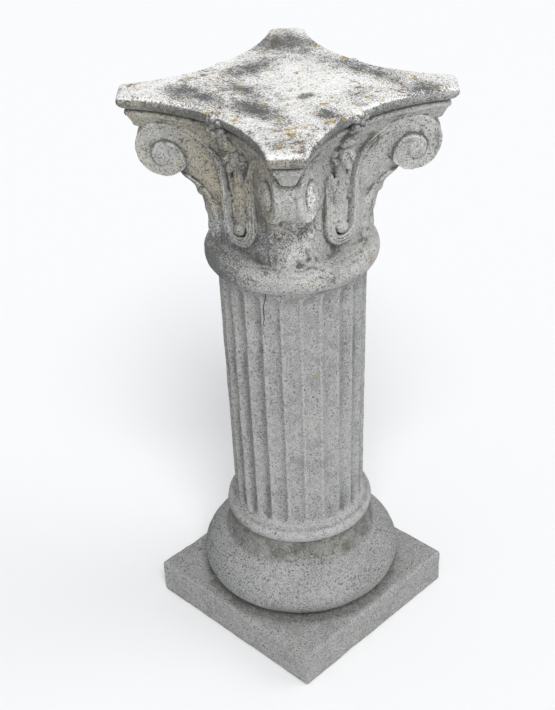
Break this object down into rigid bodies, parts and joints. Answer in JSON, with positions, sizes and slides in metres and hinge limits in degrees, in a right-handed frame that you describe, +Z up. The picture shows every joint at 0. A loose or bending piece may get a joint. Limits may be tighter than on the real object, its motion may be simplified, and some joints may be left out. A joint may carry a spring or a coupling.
{
  "type": "column pedestal",
  "caption": "Short fluted garden column in cast stone with a composite capital, hollow-sided abacus and torus base, to carry a pot, urn or statue on its flat top.",
  "frame": {"origin": "middle of the plinth's underside", "axes": "+Z up along the column's axis, X and Y along the plinth's sides"},
  "size_m": [0.3086, 0.3086, 0.7578],
  "materials": {
    "base_stone": "rough cast",
    "shaft_stone": "rough cast",
    "capital_stone": "rough cast"
  },
  "bodies": {
    "root": {"base": "base_stone", "fluted_shaft": "shaft_stone", "capital": "capital_stone"}
  },
  "joints": []
}
